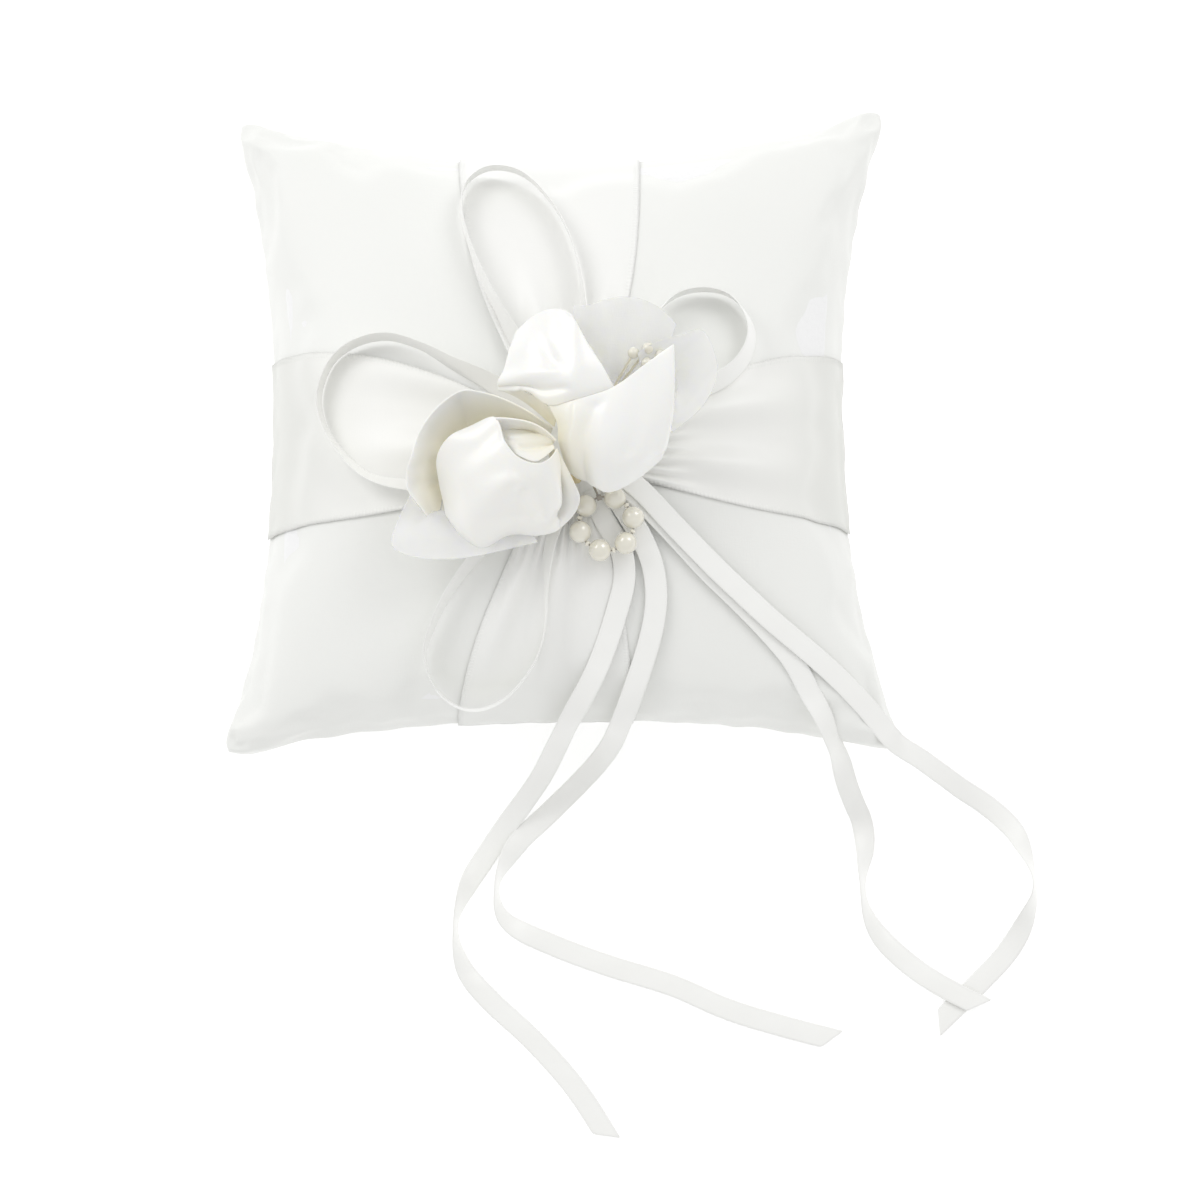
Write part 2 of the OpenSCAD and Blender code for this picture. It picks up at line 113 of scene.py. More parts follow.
# Places (x, y, z) in millimetres along the middle of each tail, from the knot out
tail_left_outer = [
    (9, -25, 50.5), (11, -31.5, 49.4), (14, -37, 48.4), (16.5, -42, 47.3), (17, -49, 45.9),
    (15, -57, 44.1), (11.5, -67, 40.7), (8, -74.5, 37.7), (3, -82.4, 31.2), (-1.5, -88.7, 20),
    (-5.8, -94.7, 10.5), (-10.6, -100.3, 4.2), (-15.4, -106.2, 1.4), (-21.9, -115.8, 0.5),
    (-26.3, -123.6, 0.5), (-29.4, -134, 0.5), (-27.2, -145.4, 0.5), (-20.2, -154.2, 0.5),
    (-10, -163.8, 0.5), (-1.2, -173.4, 0.5), (5, -181.6, 0.5), (12.3, -193.5, 0.5)]
tail_left_inner = [
    (13, -23.5, 50.9), (17.5, -31, 49.7), (21.5, -37.5, 48.2), (24.5, -45, 46.5),
    (25.5, -53, 44.7), (24.5, -61, 42.5), (22, -69.5, 39.4), (18.6, -78.5, 34.5),
    (15.6, -84.6, 27), (13.1, -88, 18.5), (9.3, -91.4, 10.5), (4.6, -95.3, 4.8),
    (-0.8, -100, 1.7), (-6.1, -104.9, 0.6), (-11.5, -110, 0.5), (-15.4, -116, 0.5),
    (-18.2, -123.6, 0.5), (-15.8, -132.6, 0.5), (-4, -138.9, 0.5), (11.7, -145, 0.5),
    (29, -150.6, 0.5), (44, -157.3, 0.5), (59, -162.1, 0.5), (74.5, -166.3, 0.5)]
tail_right_inner = [
    (14.2, -22, 51.4), (20.8, -27.3, 50.4), (29.5, -36, 47.9), (39, -46, 44.7), (46.5, -53, 42.2),
    (52.5, -58.8, 40), (58, -64.5, 37.7), (62.5, -70, 35.3), (66.5, -77.3, 32.2),
    (69.5, -82.5, 30), (72.2, -88.2, 25.5), (74.8, -92.6, 18), (76.9, -97.8, 11),
    (79.2, -102.2, 5), (81.2, -106.4, 1.6), (81.9, -113.4, 0.5), (80.9, -122, 0.5),
    (81.8, -130.5, 0.5), (85.6, -138, 0.5), (93.6, -145.8, 0.6), (102.1, -151.8, 1.5),
    (114.1, -158.2, 1.4)]
tail_right_outer = [
    (15, -20.8, 52.2), (21.5, -25.6, 51.2), (31, -35.5, 48.9), (41.5, -46, 45.8),
    (49, -52.8, 43.2), (55.5, -58.5, 40.8), (62.5, -64, 37.9), (69, -69, 34.9), (76, -75, 31.4),
    (81.5, -80.4, 28.6), (85.4, -84.8, 26.6), (89.8, -89.4, 24), (96.4, -92, 16.5), (103, -95, 9),
    (108.8, -98, 3.5), (114.6, -101.3, 0.9), (120.5, -106.5, 0.5), (124.1, -112, 0.5),
    (127.6, -124, 0.5), (125.4, -133, 0.5), (119.7, -142.5, 0.5), (111.6, -151, 0.5),
    (105.5, -157, 0.5), (98.9, -163.2, 0.5)]


class Nodes:
    """Short ways to add and join the nodes of one material"""

    def __init__(self, name, colour, roughness, sheen=0.0):
        self.material = bpy.data.materials.new(name)
        self.material.use_nodes = True
        self.tree = self.material.node_tree
        self.shader = self.tree.nodes["Principled BSDF"]
        self.shader.inputs["Base Color"].default_value = (*colour, 1)
        self.shader.inputs["Roughness"].default_value = roughness
        self.shader.inputs["Sheen Weight"].default_value = sheen

    def add(self, kind, **values):
        node = self.tree.nodes.new("ShaderNode" + kind)
        for name, value in values.items():
            if hasattr(node, name):
                setattr(node, name, value)
            else:
                node.inputs[name.replace("_", " ")].default_value = value
        return node

    def join(self, start, end):
        self.tree.links.new(start, end)

    def sum(self, kind, a, b, clamp=False):
        node = self.add("Math", operation=kind, use_clamp=clamp)
        for socket, value in zip(node.inputs, (a, b)):
            if isinstance(value, (int, float)):
                socket.default_value = value
            else:
                self.join(value, socket)
        return node.outputs[0]

    def places(self, stretch=(1, 1, 1), uv=None):
        """Object coordinates, or a piece's own UV map, stretched along each axis"""
        start = self.add("UVMap", uv_map=uv) if uv else self.add("TexCoord")
        mapping = self.add("Mapping", Scale=stretch)
        self.join(start.outputs["UV" if uv else "Object"], mapping.inputs["Vector"])
        return mapping.outputs["Vector"]

    def grain(self, scale, detail=2, stretch=(1, 1, 1), uv=None):
        """Noise from 0 to 1"""
        node = self.add("TexNoise", Scale=scale, Detail=detail)
        self.join(self.places(stretch, uv), node.inputs["Vector"])
        return node.outputs["Fac"]

    def tint(self, amount, dark, light):
        """Base colour from dark to light by amount"""
        mix = self.add("Mix", data_type="RGBA")
        mix.inputs[6].default_value = (*dark, 1)
        mix.inputs[7].default_value = (*light, 1)
        self.join(amount, mix.inputs[0])
        self.join(mix.outputs[2], self.shader.inputs["Base Color"])

    def gloss(self, amount, low, high):
        """Roughness from low to high by amount"""
        spread = self.add("MapRange", To_Min=low, To_Max=high)
        self.join(amount, spread.inputs["Value"])
        self.join(spread.outputs[0], self.shader.inputs["Roughness"])

    def relief(self, height, depth, strength=0.6):
        bump = self.add("Bump", Distance=depth, Strength=strength)
        self.join(height, bump.inputs["Height"])
        self.join(bump.outputs["Normal"], self.shader.inputs["Normal"])


def selvedge(nodes, half, zone, pitch):
    """0 to 1 on the cross ribs of both woven edges. The UV map "cloth" is in mm."""
    split = nodes.add("SeparateXYZ")
    nodes.join(nodes.places(uv="cloth"), split.inputs[0])
    inset = nodes.sum("SUBTRACT", half, nodes.sum("ABSOLUTE", split.outputs[0], 0))
    edge = nodes.sum("MULTIPLY", nodes.sum("SUBTRACT", zone, inset), 4, clamp=True)
    turns = nodes.sum("MULTIPLY", split.outputs[1], 2 * math.pi / pitch)
    rib = nodes.sum("ADD", nodes.sum("MULTIPLY", nodes.sum("SINE", turns, 0), 0.5), 0.5)
    return nodes.sum("MULTIPLY", rib, edge)


def ribbon_satin():
    nodes = Nodes("ribbon_satin", (0.90, 0.91, 0.92), 0.36, sheen=0.15)
    nodes.shader.inputs["Anisotropic"].default_value = 0.4
    cloud = nodes.grain(0.09, uv="cloth")
    nodes.tint(cloud, (0.90, 0.90, 0.875), (0.94, 0.94, 0.92))
    nodes.gloss(cloud, 0.30, 0.44)
    threads = nodes.grain(1.0, stretch=(5, 0.25, 1), uv="cloth")
    ribs = selvedge(nodes, ribbon_w / 2, 0.8, 0.55)
    height = nodes.sum("ADD", nodes.sum("MULTIPLY", threads, 0.35), ribs)
    nodes.relief(height, 0.00008)
    return nodes.material


def on_curve(route, d):
    """Place at d along a smooth curve through the route, counted in its points"""
    i = min(int(d), len(route) - 2)
    t = d - i
    a, b, c, e = (Vector(route[min(max(k, 0), len(route) - 1)]) for k in range(i - 1, i + 3))
    return 0.5 * (2 * b + (c - a) * t + (2 * a - 5 * b + 4 * c - e) * t * t
                  + (3 * b - a - 3 * c + e) * t ** 3)


def finish_piece(name, bm, material, body="pillow"):
    """The mesh as an object at the origin, with smooth faces, on its body"""
    mesh = bpy.data.meshes.new(name)
    bm.to_mesh(mesh)
    bm.free()
    for face in mesh.polygons:
        face.use_smooth = True
    mesh.materials.append(material)
    piece = bpy.data.objects.new(name, mesh)
    scene.collection.objects.link(piece)
    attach(piece, body)
    return piece


def thicken(piece, thickness, level=1):
    """Cloth thickness, then rounding of the cloth's own edges"""
    wall = piece.modifiers.new("thickness", "SOLIDIFY")
    wall.thickness = thickness * mm
    wall.offset = 0
    if level:
        smooth = piece.modifiers.new("smooth", "SUBSURF")
        smooth.levels = level
        smooth.render_levels = level


def lay_ribbon(name, route, rolls, slant, twists=()):
    """A ribbon along a route. Rolls in degrees at each place of the route stand it on edge,
    and twists add (place along the route, degrees, reach in mm) and lift it off the table."""
    steps = 8
    rows = steps * (len(route) - 1)
    line = [on_curve(route, k / steps) for k in range(rows + 1)]
    gone = [0.0]
    for a, b in zip(line, line[1:]):
        gone.append(gone[-1] + (b - a).length)
    length = gone[-1]

    def turned(d):
        added = sum(angle * math.exp(-((d - gone[int(steps * place)]) / reach) ** 2)
                    for place, angle, reach in twists)
        return math.radians(added)

    def at(d):
        k = next((i for i in range(rows) if gone[i + 1] >= d), rows - 1)
        t = (d - gone[k]) / (gone[k + 1] - gone[k])
        spot = line[k].lerp(line[k + 1], t)
        ahead = (line[min(k + 2, rows)] - line[max(k - 1, 0)]).normalized()
        where = (k + t) / steps
        i = min(int(where), len(rolls) - 2)
        roll_here = math.radians(rolls[i] + (rolls[i + 1] - rolls[i]) * (where - i)) + turned(d)
        return spot, ahead, roll_here

    bm = bmesh.new()
    bmesh.ops.create_grid(bm, x_segments=6, y_segments=rows, size=1)
    cloth = bm.loops.layers.uv.new("cloth")
    for face in bm.faces:
        for loop in face.loops:
            u, v = loop.vert.co.x, loop.vert.co.y
            loop[cloth].uv = (u * ribbon_w / 2, (v + 1) / 2 * length)
    for vertex in bm.verts:
        u, v = vertex.co.x, vertex.co.y
        d = (v + 1) / 2 * (length - slant * (1 + u) / 2)
        spot, ahead, roll_here = at(d)
        side = ahead.cross(Vector((0, 0, 1))).normalized()
        lift = side.cross(ahead)
        wide = side * math.cos(roll_here) + lift * math.sin(roll_here)
        up = lift * math.cos(roll_here) - side * math.sin(roll_here)
        raised = abs(math.sin(turned(d))) * ribbon_w / 2 * 0.96
        place = spot + wide * u * ribbon_w / 2 + up * 0.12 * (1 - u * u)
        vertex.co = (place + Vector((0, 0, raised))) * mm
    bmesh.ops.recalc_face_normals(bm, faces=bm.faces)
    piece = finish_piece(name + "_ribbon", bm, ribbon_finish)
    thicken(piece, ribbon_t)
    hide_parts(name)
    return piece, [[c * mm for c in p] for p in line]


ribbon_finish = ribbon_satin()
tails = [
    # name, route, real length in mm, twists (place along the route, degrees, reach in mm)
    ("tail_left_outer", tail_left_outer, 215, [(15, 78, 13), (8.6, 30, 10)]),
    ("tail_left_inner", tail_left_inner, 243, [(16, 78, 11), (8, 25, 10)]),
    ("tail_right_inner", tail_right_inner, 193, [(16.4, 72, 12), (10, 30, 10)]),
    ("tail_right_outer", tail_right_outer, 219, [(18, 76, 12)])]
for name, route, length, twists in tails:
    tail, line = lay_ribbon(name, route, [0] * len(route), cut_slant, twists)

# ---- Narrow ribbon: four loops of the bow ----
# The same ribbon, bent into four open loops that stand on edge round the flowers.
# Each starts and ends in the knot.
# Places (x, y, z, roll): roll 0 lies flat and 90 stands on edge
loop_top = [
    (3, -9.5, 52.8, 10), (-3.5, 1.5, 53.1, 25), (-10, 13.5, 53, 45), (-16, 25, 52.5, 70),
    (-20.5, 35, 51, 80), (-24.2, 45.5, 48.7, 85), (-26.2, 56, 45.7, 85), (-24.5, 64, 42.9, 85),
    (-18.5, 68.5, 41.2, 85), (-10.5, 67, 41.8, 85), (-3.8, 60, 44.8, 85), (2, 49.5, 48.4, 85),
    (5.5, 37.5, 51.2, 85), (7, 24, 53, 75), (7.5, 9, 53.2, 40), (6.5, -9.5, 52.7, 10)]
loop_left = [
    (-1.5, -12, 52.6, 10), (-9, -2.5, 52.8, 25), (-18, 4, 52.9, 45), (-28.5, 9.8, 52.4, 70),
    (-37, 15, 51.1, 85), (-46, 18.3, 49.2, 85), (-54.5, 17.3, 47, 85), (-61, 13, 44.8, 85),
    (-64.5, 5, 43.3, 80), (-63.8, -3, 43.6, 75), (-59.5, -11.5, 45.3, 70), (-52, -19.5, 47.3, 60),
    (-42, -22.8, 49, 45), (-28, -23.2, 50.4, 30), (-14, -21.8, 51.5, 20), (-1.5, -18.5, 52.2, 10)]
loop_bottom = [
    (1, -22.2, 51.4, 10), (-6, -28.5, 51.3, 30), (-15, -35.5, 51, 50), (-23.2, -43.8, 49.5, 65),
    (-30, -53, 47.2, 75), (-34.3, -61.2, 44.7, 80), (-36.2, -68.5, 42, 85), (-34, -76, 39.4, 85),
    (-28.5, -81, 37.4, 85), (-21.5, -82, 36.8, 85), (-14, -78.6, 38.4, 85), (-7.5, -71.3, 42, 85),
    (-4.3, -63, 45.4, 85), (-3.7, -52, 48.7, 80), (-2.6, -40, 50.8, 55), (2.5, -24, 52, 15)]
loop_right = [
    (11, -11, 52.1, 10), (14.5, -2, 52.4, 25), (19, 10, 52.9, 50), (25, 21, 52.2, 75),
    (31.5, 28.3, 50.8, 85), (39.5, 30.6, 49.4, 85), (47, 28.6, 48.1, 80), (51.7, 21.5, 47.3, 70),
    (51, 14, 47.6, 60), (46, 7.2, 48.8, 50), (37.5, 2, 50.3, 40), (26, -5, 51.6, 30),
    (12, -14.5, 51.7, 10)]
loops = [("loop_top", loop_top, 181), ("loop_left", loop_left, 162),
         ("loop_bottom", loop_bottom, 155), ("loop_right", loop_right, 127)]
for name, route, length in loops:
    rolls = [stop[3] for stop in route]
    loop, line = lay_ribbon(name, [stop[:3] for stop in route], rolls, 0)

# ---- Pillow ----
# A square of matte satin, front and back sewn along the outline, turned, and stuffed with
# fibre. It is full and crowned, its sides pull in, and it is flat where it rests.
half = 89
seam_z = 22
crown_h = 28
belly_h = 24.5
corner_r = 8
pull = {"left": 10.5, "right": 11.5, "back": 12.5, "front": 6.5}


def outline(s, t):
    """Plan of the pillow: s and t run from -1 to 1 across it. Its corners are rounded and
    stand out as stuffed ears, the back left one the least."""
    in_x = pull["right"] if s > 0 else pull["left"]
    in_y = pull["back"] if t > 0 else pull["front"]
    into_x = max(0, 1 - (1 - abs(s)) * half / corner_r)
    into_y = max(0, 1 - (1 - abs(t)) * half / corner_r)
    ear = (1.2 if s < 0 < t else 3.4) * (s * t) ** 4
    back_x = into_x * corner_r * (1 - math.sqrt(1 - into_y ** 2 / 2))
    back_y = into_y * corner_r * (1 - math.sqrt(1 - into_x ** 2 / 2))
    return (s * (half + ear - in_x * (1 - t * t) - back_x),
            t * (half + ear - in_y * (1 - s * s) - back_y))


def crown(s, t):
    """Height of the stuffing from 0 at the seam to 1 in the middle, fuller at the corners"""
    return max(0.0, (1 - s * s) * (1 - t * t)) ** (0.45 - 0.13 * (s * t) ** 4)


def pillow_satin():
    nodes = Nodes("cover_satin", (0.86, 0.865, 0.86), 0.52, sheen=0.1)
    cloud = nodes.grain(28, detail=3)
    nodes.tint(cloud, (0.845, 0.85, 0.825), (0.885, 0.89, 0.865))
    nodes.gloss(cloud, 0.46, 0.60)
    warp = nodes.grain(900, stretch=(3, 0.5, 0.5))
    weft = nodes.grain(900, stretch=(0.5, 3, 0.5))
    nodes.relief(nodes.sum("ADD", warp, weft), 0.00006, 0.35)
    return nodes.material


def stuffed_square():
    """Two grids joined at the seam, crowned above it and bellied below it"""
    bm = bmesh.new()
    bmesh.ops.create_grid(bm, x_segments=64, y_segments=64, size=1)
    front = list(bm.faces)
    made = bmesh.ops.duplicate(bm, geom=front)["geom"]
    back = [g for g in made if isinstance(g, bmesh.types.BMFace)]
    below = {v for face in back for v in face.verts}
    bmesh.ops.reverse_faces(bm, faces=back)
    for vertex in bm.verts:
        s = math.sin(vertex.co.x * math.pi / 2)
        t = math.sin(vertex.co.y * math.pi / 2)
        x, y = outline(s, t)
        if vertex in below:
            z = max(0.0, seam_z - belly_h * crown(s, t))
        else:
            z = seam_z + crown_h * crown(s, t)
        vertex.co = (x * mm, y * mm, z * mm)
    bmesh.ops.remove_doubles(bm, verts=bm.verts, dist=0.00001)
    return bm


def stuff(cushion, swell, sink):
    """Fills the cushion under pressure. The seam is held, and no point moves out by more
    than swell or in by more than sink."""
    start = [vertex.co.copy() for vertex in cushion.data.vertices]
    normals = [vertex.normal.copy() for vertex in cushion.data.vertices]
    held = cushion.vertex_groups.new(name="seam")
    held.add([i for i, p in enumerate(start) if abs(p.z / mm - seam_z) < 0.2], 1.0, "REPLACE")
    fill = cushion.modifiers.new("fill", "CLOTH")
    fill.settings.quality = 5
    fill.settings.mass = 0.1
    fill.settings.use_pressure = True
    fill.settings.uniform_pressure_force = 4
    fill.settings.shrink_min = -0.03
    fill.settings.vertex_group_mass = "seam"
    fill.settings.effector_weights.gravity = 0
    fill.point_cache.frame_start = 1
    fill.point_cache.frame_end = 20
    for step in range(1, 21):
        scene.frame_set(step)
    filled = cushion.evaluated_get(bpy.context.evaluated_depsgraph_get())
    moved = [vertex.co.copy() for vertex in filled.data.vertices]
    cushion.modifiers.remove(fill)
    scene.frame_set(1)
    for vertex, old, new, normal in zip(cushion.data.vertices, start, moved, normals):
        step = new - old
        out = step.dot(normal)
        limited = min(max(out, -sink * mm), swell * mm)
        vertex.co = old + normal * limited
        vertex.co.z = max(vertex.co.z, 0.0)


cover = finish_piece("pillow_cover", stuffed_square(), pillow_satin())
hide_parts("cover_front", "cover_back")
stuff(cover, swell=0.25, sink=1.6)
# Puckers along the sewn seam, slow hollows in the cloth, and a little slack all over
pucker_depth = 0.45
hollow_depth = 0.5
hollow_size = 34
slack = 0.35
for vertex in cover.data.vertices:
    x, y, z = vertex.co / mm
    near = math.exp(-((z - seam_z) / 6) ** 2)
    run = math.atan2(y, x) * 90
    pucker = pucker_depth * math.sin(run * 0.85 + 1.7 * math.sin(run * 0.11)) * near
    rim = max(abs(x), abs(y)) / half
    hollow = noise.noise(Vector((x, y, z)) / hollow_size) * hollow_depth * (1 - near)
    out = Vector((x, y, 0)).normalized() * pucker * min(1, max(0, rim * 4 - 2.6))
    vertex.co += (out + vertex.normal * (hollow - slack)) * mm
    vertex.co.z = max(vertex.co.z, 0.0)
soften = cover.modifiers.new("soften", "SUBSURF")
soften.levels = 1
soften.render_levels = 1

# Fibre filling and the seam's thread, inside the cover
fibre = Nodes("fibre", (0.9, 0.9, 0.9), 0.9, sheen=0.2)
fibre.relief(fibre.grain(600, detail=4), 0.0004)
thread = Nodes("white_thread", (0.86, 0.86, 0.84), 0.6, sheen=0.3)
thread.relief(thread.grain(2500, stretch=(1, 1, 3)), 0.00008)


def finish_node(name, material):
    """A CAD node keeps its shape and gets its real finish"""
    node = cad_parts[name]
    node.data.materials.clear()
    node.data.materials.append(material)


finish_node("fibre_filling", fibre.material)
finish_node("perimeter_stitching", thread.material)

# ---- Wide bands ----
# Two 50 mm satin ribbons, sewn into the side seams and crossed over the top. Both are
# gathered to 16 mm under the flowers, so folds fan out from the middle.
hub_x, hub_y = 5, -16
band_w = 50
gather_w = 16
band_t = 0.2
# Length of each band from seam to seam, measured along its cloth
band_length = 182
# Height of the band's cloth off the pillow, and how far out the flowers cover the gathers
band_lift = 0.25
flower_reach = 34


def band_finish(name, dark, light):
    """Satin with painted shade that darkens it over the last 45 mm to the side seams"""
    nodes = Nodes(name, light, 0.38, sheen=0.1)
    nodes.shader.inputs["Anisotropic"].default_value = 0.3
    cloud = nodes.grain(0.05, detail=3, uv="cloth")
    split = nodes.add("SeparateXYZ")
    nodes.join(nodes.places(uv="cloth"), split.inputs[0])
    reach = nodes.sum("ABSOLUTE", split.outputs[1], 0)
    painted_shade_fade = nodes.sum("MULTIPLY", nodes.sum("SUBTRACT", 84, reach), 0.022, clamp=True)
    # Painted shade: the colour darkens towards the side seams
    nodes.tint(painted_shade_fade, dark, light)
    nodes.gloss(cloud, 0.30, 0.46)
    threads = nodes.grain(1.0, stretch=(0.25, 3, 1), uv="cloth")
    ribs = selvedge(nodes, band_w / 2, 1.8, 0.9)
    nodes.relief(nodes.sum("ADD", nodes.sum("MULTIPLY", threads, 0.2), ribs), 0.0001)
    return nodes.material


def near_hub(r, reach):
    """1 at r = 0, fading over the reach"""
    return math.exp(-(r / reach) ** 2)


def half_band(r):
    return (band_w - (band_w - gather_w) * near_hub(r, 42)) / 2


def middle(r, end, at_hub):
    """How far to the side the band's middle line runs, from its place at the hub to its end"""
    return end + (at_hub - end) * near_hub(r, 50)


def pleats(v, r, fan, high):
    """Height of the gathers: ridges that fan out and fade, and stay low near the hub. Fan
    is (wide ridges over the band, their start, small ridges under the flowers)."""
    past = r - flower_reach
    grow = near_hub(past, 21 if past > 0 else 9)
    ridge = 0.5 + 0.5 * math.cos(fan[0] * math.pi * v + fan[1] + 0.012 * r)
    small = 0.5 + 0.5 * math.cos(fan[2] * math.pi * v - fan[1])
    hidden = near_hub(r - 20, 7)
    return high * (grow * ridge ** 1.5 + 0.9 * hidden * small)


def across_place(u, v):
    """Where the band's cloth lies over the pillow, and how high it is lifted there"""
    s = math.sin(u * math.pi / 2)
    in_x = pull["right"] if s > 0 else pull["left"]
    r = s * (half - in_x) - hub_x
    y = middle(r, -5.7, hub_y + 3) + v * half_band(r)
    t = y / (half - (pull["back"] if y > 0 else pull["front"]) * (1 - s * s))
    fan = (1.9, 0.5, 9.0) if r < 0 else (2.3, 2.6, 8.0)
    lift = band_lift + 0.3 * s ** 4 + pleats(v, abs(r), fan, 2.3) * (1 - s ** 8)
    return Vector((outline(s, t)[0], y, seam_z + crown_h * crown(s, t))), lift


def lengthwise_place(u, v):
    t = math.sin(v * math.pi / 2)
    in_y = pull["back"] if t > 0 else pull["front"]
    r = t * (half - in_y) - hub_y
    x = middle(r, -2.5 if t > 0 else -5.7, hub_x - 3) + u * half_band(r)
    s = x / (half - (pull["right"] if x > 0 else pull["left"]) * (1 - t * t))
    fan = (2.4, 1.3, 8.0) if r > 0 else (3.1, 0.4, 9.0)
    quiet = 1.0 if r > 0 or x < 2 else max(0.15, 1 - (x - 2) / 6)
    laid = band_lift + 0.3 * t ** 4 + 1.3 * near_hub(r, 26)
    lift = laid + pleats(u, abs(r), fan, 2.4) * (1 - t ** 8) * quiet
    return Vector((x, outline(s, t)[1], seam_z + crown_h * crown(s, t))), lift


def sew_band(name, look, place, long_way):
    """Each place of the band is found on the stuffed cover, then lifted off it"""
    top = BVHTree.FromObject(cover, bpy.context.evaluated_depsgraph_get())
    bm = bmesh.new()
    cells = (96, 48) if long_way == "x" else (48, 96)
    bmesh.ops.create_grid(bm, x_segments=cells[0], y_segments=cells[1], size=1)
    cloth = bm.loops.layers.uv.new("cloth")
    for face in bm.faces:
        for loop in face.loops:
            u, v = loop.vert.co.x, loop.vert.co.y
            wide, along = (v, u) if long_way == "x" else (u, v)
            loop[cloth].uv = (wide * band_w / 2, along * band_length / 2)
    for vertex in bm.verts:
        spot, lift = place(vertex.co.x, vertex.co.y)
        nearest, outward, face, gap = top.find_nearest(spot * mm)
        vertex.co = nearest + outward * lift * mm
    bmesh.ops.recalc_face_normals(bm, faces=bm.faces)
    piece = finish_piece(name + "_satin", bm, look)
    thicken(piece, band_t, 0)
    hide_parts(name)


# Painted shade on both bands: strong on the across band, slight on the lengthwise one
across_look = band_finish("band_across_satin", (0.74, 0.745, 0.71), (0.89, 0.89, 0.865))
lengthwise_look = band_finish("band_lengthwise_satin", (0.85, 0.855, 0.83), (0.90, 0.90, 0.88))
sew_band("band_across", across_look, across_place, "x")
sew_band("band_lengthwise", lengthwise_look, lengthwise_place, "y")

# ---- Knot of the bow and the gathering thread ----
# The ribbon's knot, pulled tight over the crossed bands, with the sewing thread that
# gathers the bands wound round it. The flowers cover both.
knot_low, knot_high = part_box("ribbon_knot")
knot_middle = (knot_low + knot_high) / 2
knot_half = (knot_high - knot_low) / 2
knot_bm = bmesh.new()
bmesh.ops.create_uvsphere(knot_bm, u_segments=32, v_segments=16, radius=1)
for vertex in knot_bm.verts:
    turn = math.atan2(vertex.co.y, vertex.co.x)
    wrap = 1 - 0.07 * math.sin(3 * turn + 5 * vertex.co.z) ** 2
    for i in range(3):
        vertex.co[i] = knot_middle[i] + vertex.co[i] * knot_half[i] * wrap
knot_look = Nodes("knot_satin", (0.9, 0.91, 0.92), 0.4, sheen=0.3)
knot = finish_piece("tied_knot", knot_bm, knot_look.material)
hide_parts("ribbon_knot")
finish_node("gather_thread", thread.material)

# ---- Rose ----
# A bud of rolled ivory satin inside cupped petals, with one sheer petal under it. Each
# petal is a bias-cut piece, heat-curled at its rim and glued at its foot.


def petal_satin(name, dark, light, heart=(-1, -14.5, 62), near=4, far=17):
    """Satin with painted shade: dark and warm within near mm of the heart, where the petals shade
    each other, and light beyond far mm
    """
    nodes = Nodes(name, light, 0.3, sheen=0.1)
    nodes.shader.inputs["Specular IOR Level"].default_value = 0.8
    nodes.shader.inputs["Anisotropic"].default_value = 0.25
    nodes.shader.inputs["Subsurface Weight"].default_value = 0.25
    nodes.shader.inputs["Subsurface Radius"].default_value = (0.003, 0.0026, 0.0018)
    gap = nodes.add("VectorMath", operation="DISTANCE")
    nodes.join(nodes.places(), gap.inputs[0])
    gap.inputs[1].default_value = [c * mm for c in heart]
    past = nodes.sum("SUBTRACT", gap.outputs["Value"], near * mm)
    away = nodes.sum("DIVIDE", past, (far - near) * mm, clamp=True)
    cloud = nodes.grain(70, detail=3)
    # Painted shade: darker, warmer colour close to the heart
    nodes.tint(away, dark, light)
    nodes.gloss(cloud, 0.24, 0.38)
    threads = nodes.grain(1400, stretch=(0.5, 2.5, 1))
    nodes.relief(threads, 0.00005, 0.3)
    return nodes.material


def organza(name):
    nodes = Nodes(name, (0.88, 0.89, 0.86), 0.45, sheen=0.4)
    nodes.shader.inputs["Alpha"].default_value = 0.55
    nodes.shader.inputs["Subsurface Weight"].default_value = 0.8
    nodes.shader.inputs["Subsurface Radius"].default_value = (0.004, 0.004, 0.003)
    warp = nodes.grain(1500, stretch=(3, 0.3, 1))
    weft = nodes.grain(1500, stretch=(0.3, 3, 1))
    nodes.tint(nodes.grain(60), (0.93, 0.935, 0.91), (0.97, 0.975, 0.955))
    nodes.relief(nodes.sum("ADD", warp, weft), 0.00008, 0.5)
    return nodes.material


# Each petal finish carries painted warm shade near a heart point; the rose cup's heart lies deep
# in the cup, so its rim stays white
rose_look = petal_satin("rose_satin", (0.90, 0.84, 0.62), (0.915, 0.91, 0.875))
rose_cup_look = petal_satin("rose_cup_satin", (0.93, 0.865, 0.64), (0.925, 0.92, 0.885),
                            (-17, -24, 60), 14, 23)
blossom_look = petal_satin("blossom_satin", (0.90, 0.85, 0.66), (0.92, 0.92, 0.895))
organza_look = organza("organza")


